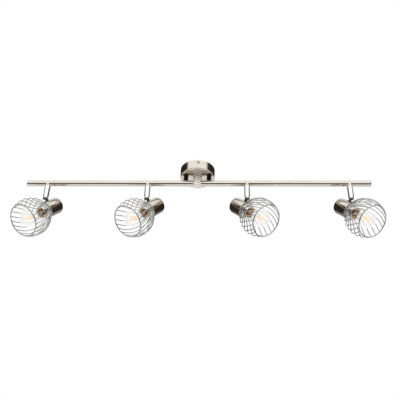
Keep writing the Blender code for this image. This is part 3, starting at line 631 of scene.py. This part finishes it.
def build_boss(number, hang):
    """Nickel boss under the bar: a saddle at its top and a flanged spigot for the arm below."""
    low, high = corners(f"swivel_boss_{number}")
    bar_low, bar_high = corners("bar_left")
    bar_skin = (bar_high[2] - bar_low[2]) / 2 + BAR_GAP
    wide = (high[0] - low[0]) / 2
    foot = -bar_height(wide, bar_skin)
    neck, flange, bore = SPIGOT
    flange_top, flange_foot, bore_top = SPIGOT_ENDS
    rings = [(BOSS_BORE, -bar_height(BOSS_BORE, bar_skin)), (wide - 0.15, foot),
             (wide, foot - 0.35), (wide, foot - 0.9), (wide, 0.9 - BOSS_DEEP),
             (wide - 0.2, 0.3 - BOSS_DEEP), (wide - 0.8, -BOSS_DEEP), (neck, -BOSS_DEEP),
             (neck, flange_top), (flange, flange_top), (flange, flange_foot), (bore, flange_foot),
             (bore, bore_top)]
    piece(f"boss_turning_{number}", [shell(stacked(rings), ring=True)], nickel, "root",
          f"swivel_boss_{number}", hang)


def build_arm(number, place):
    """Chromed arm tube with its fork, and the tilt screw across the fork."""
    body = f"arm_{number}"
    low, high = corners(f"arm_tube_{number}", place)
    sheet = arm_sheet(high[0], high[2], low[2])
    piece(f"arm_drawn_tube_{number}", [sheet], chrome, body, f"arm_tube_{number}",
          place, thickness=ARM_WALL, bevel=0.25)

    low, high = corners(f"tilt_screw_{number}", place)
    seat = (high[1] - low[1] - TILT_ENDS) / 2 - 0.2
    wide, slot, depth = TILT_HEAD
    head = bent(slotted_head(wide, high[1] - seat, slot, depth),
                lambda x, y, z: (x, z + seat, -y) if high[1] > -low[1] else (x, -z - seat, y))
    shank = rounded([(0, seat + 0.2, 0), (TILT_SHANK, seat + 0.2, 0), (TILT_SHANK, -seat, 0),
                     (TILT_TAIL, -seat, 0.2), (TILT_TAIL, low[1], 0.5), (0, low[1], 0)])
    rod = bent(turned(shank, 28), lambda x, y, z: (x, z, -y))
    piece(f"tilt_pin_{number}", [head, rod], zinc, body, f"tilt_screw_{number}",
          place)


# ---------------------------------------------------------------- straps, cups and holders

STRAP_WIDTH = 4.1            # across the fork, mm
STRAP_EYE = 4.1              # radius round the tilt screw
STRAP_SHANK = (-3.7, 3.0)    # back and front of the part that stands on the cup
FOOT_MIDDLE = -0.4           # middle of the strap's foot along the cup
FOOT_HALF = (5.4, 4.9)       # half its width round the cup and half its length along it
FOOT_THICKNESS = 0.8
FOOT_LIFT = 0.72             # its middle layer, off the cup

CUP_WALL = 1.2
SLEEVE_WALL = 1.1
HOLDER_BORE = (8.2, 5.0)     # radius, and where its floor is
HOLDER_RIM = (9.4, 11.4)     # radii of the raised rim at the mouth
HOLDER_SKIRT = 12.5
NUT_RADII = (14.6, 17.3)
NUT_KNURLS = 36
NUT_DEPTH = 0.22             # of the knurl


def strap_eye():
    """Outline of the strap's eye and shank, in the tilt axes: x forward and z off the cup."""
    back, front = STRAP_SHANK
    eye = arc((0, 0), STRAP_EYE, 205, -35, 26)
    return np.concatenate([eye, [(front + 0.2, -3.4), (front, -7.9), (front - 0.4, -8.1),
                                 (back + 0.4, -8.1), (back, -7.7)]])


def build_strap(number, body, tilt_place, head_place):
    """Cast strap: its eye and shank, and its foot, a plate bent round the cup."""
    _, cup_high = corners(f"head_cup_{number}", head_place)
    wide, long = FOOT_HALF
    back = FOOT_MIDDLE - long
    front = FOOT_MIDDLE + long
    plate = rounded([(-wide, back, 1.5), (wide, back, 1.5), (wide, front, 1.5),
                     (-wide, front, 1.5)], closed=True)
    middle = cup_high[0] + FOOT_LIFT
    foot, quads, chart = bent(slab(plate, FOOT_THICKNESS, 0.25),
                              lambda x, y, z: (-(middle + y) * np.cos(x / middle),
                                               (middle + y) * np.sin(x / middle), z))
    away = np.linalg.inv(tilt_place) @ head_place
    foot = foot @ away[:3, :3].T + away[:3, 3] / MM
    piece(f"strap_casting_{number}", [slab(strap_eye(), STRAP_WIDTH, 0.5), (foot, quads, chart)],
          bronze, body, f"tongue_{number}", tilt_place)


def build_cup(number, body, place):
    """Drawn cup, the chromed sleeve in its mouth, and the lampholder in the sleeve."""
    low, high = corners(f"head_cup_{number}", place)
    radius, back, front = high[0], low[2], high[2]
    inside = radius - CUP_WALL
    profile = rounded([(0, back + CUP_WALL, 0), (inside, back + CUP_WALL, 1.6),
                       (inside, front, 0.3), (radius, front, 0.45), (radius, back, 2.4),
                       (0, back, 0)], steps=7)
    piece(f"cup_drawing_{number}", [turned(profile)], nickel, body, f"head_cup_{number}",
          place)

    low, high = corners(f"lamp_sleeve_{number}", place)
    radius, back, mouth = high[0], low[2], high[2]
    inside = radius - SLEEVE_WALL
    profile = rounded([(inside, back, 0.2), (inside, mouth, 0.4), (radius, mouth, 0.4),
                       (radius, back, 0.2)], closed=True, steps=4)
    piece(f"sleeve_tube_{number}", [turned(profile, 72, ring=True)], chrome, body,
          f"lamp_sleeve_{number}", place)

    low, high = corners(f"lampholder_{number}", place)
    back, face = low[2], high[2]
    bore, floor = HOLDER_BORE
    rim, rim_out = HOLDER_RIM
    profile = rounded([(0, floor, 0), (bore, floor, 0.5), (bore, face - 1.5, 0.6),
                       (rim, face, 0.6), (rim_out, face, 0.5), (rim_out, face - 1.2, 0.3),
                       (HOLDER_SKIRT, face - 1.2, 0.3), (HOLDER_SKIRT, back, 0.6),
                       (0, back, 0)])
    # The holder's finish carries a painted glow in place of the lamp's light falling into the
    # bore.
    piece(f"holder_moulding_{number}", [turned(profile, 72)], amber_painted_glow, body,
          f"lampholder_{number}", place)


def build_nut(number, body, place):
    """Ring nut whose outside waves as a cosine, one wave a knurl, and fades out inwards."""
    low, high = corners(f"ring_nut_{number}", place)
    inside, outside = NUT_RADII
    outline = rounded([(inside, low[2], 0.2), (inside, high[2], 0.3), (outside, high[2], 0.6),
                       (outside, low[2], 0.4)], closed=True, steps=4)
    angle = TAU * np.arange(144) / 144
    share = np.clip(outline[:, :1] - outside + 1.1, 0, 1)
    ring = outline[:, :1] + share * NUT_DEPTH * np.cos(NUT_KNURLS * angle)
    grid = np.stack([ring * np.cos(angle), ring * np.sin(angle), outline[:, 1:] + 0 * angle], 2)
    piece(f"knurled_nut_{number}", [shell(grid, ring=True)], chrome, body, f"ring_nut_{number}",
          place)


# ---------------------------------------------------------------- cages

CAGE_CENTRE = 70.0           # of the sphere that the wires follow, from the tilt axis, mm
CAGE_RADIUS = 45.3
CAGE_NECK = (18.6, 19.3)     # radius and place of the wires' ends on the neck plate
CAGE_MOUTH = (38.6, 97.25)   # and on the mouth ring
CAGE_CLOCKS = (0.5, 0.75, 0.125, 0.375)         # how far each cage is turned, in wires
WIRE_COUNT = 22
WIRE_TWIST = math.radians(-52.0)
WIRE_STATIONS = 44
WIRE_RADIUS = 0.98
MOUTH_WIRE = 1.34            # radius of the mouth ring's wire
PLATE_RADII = (14.5, 19.7)
PLATE_FACES = (18.35, 20.25)


def cage_wires(clock):
    """Every wire of a cage: a meridian of a sphere that reaches out to the neck by the eighth
    power and to the front ring by the fourth, and turns evenly about the axis on its way."""
    part = np.linspace(0, 1, WIRE_STATIONS)
    ends = []
    for radius, place in (CAGE_NECK, CAGE_MOUTH):
        ends.append((math.atan2(radius, place - CAGE_CENTRE),
                     math.hypot(radius, place - CAGE_CENTRE) - CAGE_RADIUS))
    (neck, neck_reach), (mouth, mouth_reach) = ends
    polar = neck + (mouth - neck) * part
    reach = CAGE_RADIUS + neck_reach * (1 - part) ** 8 + mouth_reach * part**4
    weld = 1.0 + 0.35 * np.exp(-((1 - part) / 0.02) ** 2) + 0.3 * np.exp(-(part / 0.02) ** 2)
    made = []
    for wire in range(WIRE_COUNT):
        around = (wire + clock) * TAU / WIRE_COUNT + WIRE_TWIST * part
        out = np.stack([np.sin(polar) * np.cos(around), np.sin(polar) * np.sin(around),
                        np.cos(polar)], 1)
        path = out * reach[:, None] + np.array([0, 0, CAGE_CENTRE])
        made.append(swept(path, out, WIRE_RADIUS * weld, 8))
    return made


def circle_wire(radius, height, thickness):
    """Round wire bent into a circle about the axis."""
    angle = TAU * np.arange(120) / 120
    out = np.stack([np.cos(angle), np.sin(angle), 0 * angle], 1)
    return swept(out * radius + np.array([0, 0, height]), out, thickness, 12, ring=True)


def build_cage(number, body, place, clock):
    """Neck plate that the nut clamps, and the twisted wires with the ring at their mouth."""
    inside, outside = PLATE_RADII
    under, face = PLATE_FACES
    plate = rounded([(inside, under, 0.3), (inside, face, 0.3), (outside, face, 0.6),
                     (outside, under, 0.6)], closed=True, steps=4)
    piece(f"cage_neck_plate_{number}", [turned(plate, 96, ring=True)], chrome, body, None,
          place)
    piece(f"cage_wires_{number}", cage_wires(clock) + [circle_wire(*CAGE_MOUTH, MOUTH_WIRE)],
          wire_chrome, body, f"cage_{number}", place)


# ---------------------------------------------------------------- lamps

BALL_CENTRE = 77.0           # of the bulb's ball, from the tilt axis, mm
BALL_RADIUS = 22.0
BULB_NECK = 5.9              # radius
BULB_FILLET = 10.0           # between the ball and the neck
BULB_WALL = 0.7
BULB_FOOT = 33.5
THREAD_ENDS = (12.6, 31.6)
THREAD_RADIUS = 6.45
THREAD_DEPTH = 0.35
THREAD_PITCH = 3.2
BURNER_RADIUS = 4.4
BURNER_TOP = 84.5            # where the capsule's round end starts


def globe_outline(radius, neck, fillet):
    """Outline of a bulb: a sphere, a fillet that touches it and the neck, and the neck.

    The fillet's centre is a fillet radius off both, so its height under the sphere's centre is
    the root of the two radii squared less the square of its distance from the axis.
    """
    off = neck + fillet
    under = math.sqrt((radius + fillet) ** 2 - off**2)
    meet = math.degrees(math.atan2(-under, off))
    ball = arc((0, BALL_CENTRE), radius, 90, meet, 40)
    hollow = arc((off, BALL_CENTRE - under), fillet, 180 + meet, 180, 12)
    return np.concatenate([ball, hollow[1:], [(neck, BULB_FOOT)]])


def threaded_cap():
    """Screw shell of the lamp: a radius that waves once a pitch and shifts one pitch a turn."""
    angle = TAU * np.arange(RING_SIDES) / RING_SIDES
    start, stop = THREAD_ENDS
    height = np.linspace(start, stop, 70)[:, None]
    fade = np.clip(np.minimum(height - start, stop - height) / 1.2, 0, 1)
    wave = THREAD_RADIUS + THREAD_DEPTH * fade * np.cos(TAU * height / THREAD_PITCH - angle)
    grid = np.stack([wave * np.cos(angle), wave * np.sin(angle), height + 0 * angle], 2)
    contact = stacked([(0, 8.0), (2.2, 8.0), (2.4, 8.3), (2.5, 10.0), (5.9, 12.0)])
    skirt = stacked([(6.6, 32.3), (7.4, 33.4), (7.6, 34.2), (7.6, 36.6), (7.4, 36.9),
                     (6.4, 36.9), (6.2, 36.5), (6.2, 33.0), (0, 33.0)])
    return shell(np.concatenate([contact, grid, skirt]))


def build_lamp(number, body, place):
    """Blown bulb, its screw cap, and the lit burner on its stem and two support wires."""
    outer = globe_outline(BALL_RADIUS, BULB_NECK, BULB_FILLET)
    inner = globe_outline(BALL_RADIUS - BULB_WALL, BULB_NECK - BULB_WALL, BULB_FILLET + BULB_WALL)
    bulb = piece(f"bulb_glass_{number}", [turned(np.concatenate([outer, inner[::-1]]), 72)],
                 glass, body, f"lamp_glass_{number}", place)
    bulb.visible_shadow = False
    piece(f"lamp_screw_cap_{number}", [threaded_cap()], brass, body, f"lamp_cap_{number}",
          place)

    capsule = np.concatenate([arc((0, BURNER_TOP), BURNER_RADIUS, 90, 0, 8),
                              [(BURNER_RADIUS, 82.0), (BURNER_RADIUS, 68.5)],
                              arc((1.6, 68.5), 2.8, 0, -80, 6), [(1.5, 64.0), (0, 64.0)]])
    burner = piece(f"quartz_burner_{number}", [turned(held(capsule), 32)], quartz, body,
                   f"lamp_burner_{number}", place)
    burner.visible_shadow = False
    stem = rounded([(0, 58, 0), (1.5, 58, 0.5), (1.5, 44, 1.0), (3.6, 39, 1.0), (3.6, 33.2, 0),
                    (0, 33.2, 0)])
    piece(f"glass_stem_{number}", [turned(stem, 28)], stem_glass, body, None,
          place)
    wires = []
    for side in (-1, 1):
        path = np.array([(side * 0.8, 0, 52), (side * 1.1, 0, 58), (side * 1.4, 0, 61),
                         (side * 1.2, 0, 65)], float)
        normal = np.repeat([[0.0, 1.0, 0.0]], len(path), 0)
        wires.append(swept(path, normal, 0.35, 8))
    piece(f"burner_supports_{number}", wires, zinc, body, None, place)


# ---------------------------------------------------------------- building it

build_canopy()
for word, side in (("left", -1), ("right", 1)):
    build_bar(word, side)
    build_bush(word)

joints = {joint["name"]: joint for joint in frame["joints"]}
for number, clock in enumerate(CAGE_CLOCKS, start=1):
    swivel = joints[f"swivel_{number}"]
    tilt = joints[f"tilt_{number}"]
    heading = math.atan2(-tilt["axis"][0], tilt["axis"][1])
    lean = math.radians(90 - tilt["range_deg"][1])
    upright = shifted(*tilt["pos_m"]) @ spun("Z", heading)
    build_boss(number, shifted(*swivel["pos_m"]))
    build_arm(number, upright)
    tilt_place = upright @ spun("Y", lean)
    cup_low, cup_high = corners(f"head_cup_{number}", tilt_place)
    drop = (cup_low[2] + cup_high[2]) / 2 * MM
    head_place = tilt_place @ shifted(0, 0, drop) @ spun("Y", math.pi / 2)
    body = f"head_{number}"
    build_strap(number, body, tilt_place, head_place)
    build_cup(number, body, head_place)
    build_nut(number, body, head_place)
    build_cage(number, body, head_place, clock)
    build_lamp(number, body, head_place)

for node, finish in (("ceiling_bracket", zinc), ("terminal_block", polyamide),
                     ("bar_wiring", sheath)):
    frame["nodes"][node].data.materials.clear()
    frame["nodes"][node].data.materials.append(finish)


# ---------------------------------------------------------------- light, floor and camera

STRIP_HEAD = np.radians([-22, -17])             # where the dark strip's upper edge fades
STRIP_FOOT = np.radians([-82, -50])             # and its lower edge, both from level
WALL_COLOUR = (0.032, 0.026, 0.020, 1.0)        # of the dark walls and the dark strip
FRONT_LIGHT = 1.28           # strength of the room in front, where white paper is 1
BACK_LIGHT = 0.65            # and of the room behind, at eye level
CAMERA_PLACE = (0.06915, -1.21990, -0.91670)    # metres
CAMERA_PITCH = 0.5943        # upwards, radians
CAMERA_YAW = -0.0501         # to the right
CAMERA_ROLL = 0.0301
CAMERA_LENS = 54.0           # mm, on a sensor 36 mm wide


def build_world():
    """White studio: a white backdrop behind what is seen, and what the metals mirror.

    The mirrored room is white in front, above and below, greyer behind, with a dark wall beyond
    each end of the bar that reaches round to the back, and a dark strip low in front.
    """
    world = bpy.data.worlds.new("studio")
    bpy.context.scene.world = world
    world.use_nodes = True
    tree = world.node_tree
    tree.nodes.clear()
    way = add(tree, "ShaderNodeTexCoord")
    axes = add(tree, "ShaderNodeSeparateXYZ", {"Vector": way.outputs["Generated"]})
    _, y, z = axes.outputs
    front = add(tree, "ShaderNodeMath", {0: y, 1: -1.0}, operation="MULTIPLY")
    down = add(tree, "ShaderNodeMath", {0: z, 1: -1.0}, operation="MULTIPLY")
    leaning = add(tree, "ShaderNodeMath", {0: z, 1: 0.5, 2: front.outputs[0]},
                  operation="MULTIPLY_ADD")
    # The end walls stop short of the front, of the back, of the floor and of the ceiling.
    bands = []
    for level, low, high in ((y, -0.44, -0.16), (leaning.outputs[0], -1.05, -0.70),
                             (z, -0.50, -0.30), (down.outputs[0], -0.76, -0.66)):
        bands.append(add(tree, "ShaderNodeMapRange", {"Value": level, "From Min": low,
                                                      "From Max": high},
                         interpolation_type="SMOOTHSTEP"))
    flank = bands[0]
    for band in bands[1:]:
        flank = add(tree, "ShaderNodeMath", {0: flank.outputs[0], 1: band.outputs[0]},
                    operation="MULTIPLY")
    rise = add(tree, "ShaderNodeMath", {0: z, 1: front.outputs[0]}, operation="ARCTAN2")
    under = add(tree, "ShaderNodeMapRange", {"Value": rise.outputs[0],
                                             "From Min": STRIP_HEAD[0],
                                             "From Max": STRIP_HEAD[1], "To Min": 1.0,
                                             "To Max": 0.0}, interpolation_type="SMOOTHSTEP")
    strip = add(tree, "ShaderNodeMapRange", {"Value": rise.outputs[0],
                                             "From Min": STRIP_FOOT[0],
                                             "From Max": STRIP_FOOT[1],
                                             "To Max": under.outputs[0]},
                interpolation_type="SMOOTHSTEP")
    dark = add(tree, "ShaderNodeMath", {0: flank.outputs[0], 1: strip.outputs[0]},
               operation="MAXIMUM")
    steep = add(tree, "ShaderNodeMath", {0: z}, operation="ABSOLUTE")
    back = add(tree, "ShaderNodeMapRange", {"Value": steep.outputs[0], "From Min": 0.2,
                                            "From Max": 0.45, "To Min": BACK_LIGHT, "To Max": 1.0},
               interpolation_type="SMOOTHSTEP")
    lamp = add(tree, "ShaderNodeMapRange", {"Value": front.outputs[0], "From Min": -0.1,
                                            "From Max": 0.4, "To Min": back.outputs[0],
                                            "To Max": FRONT_LIGHT},
               interpolation_type="SMOOTHSTEP")
    bright = add(tree, "ShaderNodeCombineColor", {0: lamp.outputs[0], 1: lamp.outputs[0],
                                                  2: lamp.outputs[0]})
    room = add(tree, "ShaderNodeMix", {"Factor": dark.outputs[0], "A": bright.outputs[0],
                                       "B": WALL_COLOUR}, data_type="RGBA")
    mirrored = add(tree, "ShaderNodeBackground", {"Color": room.outputs["Result"],
                                                  "Strength": 1.0})
    seen = add(tree, "ShaderNodeBackground", {"Color": (1.0, 1.0, 1.0, 1.0), "Strength": 1.0})
    ray = add(tree, "ShaderNodeLightPath")
    direct = add(tree, "ShaderNodeMath", {0: ray.outputs["Is Camera Ray"],
                                          1: ray.outputs["Is Transmission Ray"]},
                 operation="MAXIMUM")
    both = add(tree, "ShaderNodeMixShader", {0: direct.outputs[0], 1: mirrored.outputs[0],
                                             2: seen.outputs[0]})
    add(tree, "ShaderNodeOutputWorld", {"Surface": both.outputs[0]})


def build_floor():
    """Pale matt floor well below the fixture, left out of the mirrors."""
    half = 4.0
    low = -1.9
    mesh = bpy.data.meshes.new("studio_floor")
    mesh.from_pydata([(-half, -half, low), (half, -half, low), (half, half, low),
                      (-half, half, low)], [], [(0, 1, 2, 3)])
    made, tree, shader = surface("pale_floor", Roughness=0.8)
    place = add(tree, "ShaderNodeTexCoord")
    cloud = add(tree, "ShaderNodeTexNoise", {"Vector": place.outputs["Object"], "Scale": 3.0})
    colour = add(tree, "ShaderNodeMix", {"Factor": cloud.outputs["Fac"], "A": linear("ECEBE9"),
                                         "B": linear("F4F3F1")}, data_type="RGBA")
    tree.links.new(colour.outputs["Result"], shader.inputs["Base Color"])
    mesh.materials.append(made)
    floor = bpy.data.objects.new("studio_floor", mesh)
    bpy.context.scene.collection.objects.link(floor)
    floor.visible_glossy = False


def build_camera():
    """Camera below and in front of the bar, looking up at it."""
    level = np.array([math.cos(CAMERA_YAW), -math.sin(CAMERA_YAW), 0.0])
    ahead = np.array([math.sin(CAMERA_YAW) * math.cos(CAMERA_PITCH),
                      math.cos(CAMERA_YAW) * math.cos(CAMERA_PITCH), math.sin(CAMERA_PITCH)])
    above = np.cross(level, ahead)
    right = math.cos(CAMERA_ROLL) * level + math.sin(CAMERA_ROLL) * above
    up = math.cos(CAMERA_ROLL) * above - math.sin(CAMERA_ROLL) * level
    data = bpy.data.cameras.new("studio_camera")
    data.sensor_width = 36.0
    data.lens = CAMERA_LENS
    camera = bpy.data.objects.new("studio_camera", data)
    bpy.context.scene.collection.objects.link(camera)
    turn = np.eye(4)
    turn[:3, 0] = right
    turn[:3, 1] = up
    turn[:3, 2] = -ahead
    turn[:3, 3] = CAMERA_PLACE
    camera.matrix_world = Matrix(turn.tolist())
    bpy.context.scene.camera = camera


build_world()
build_floor()
build_camera()
bpy.context.scene.view_settings.view_transform = "Standard"
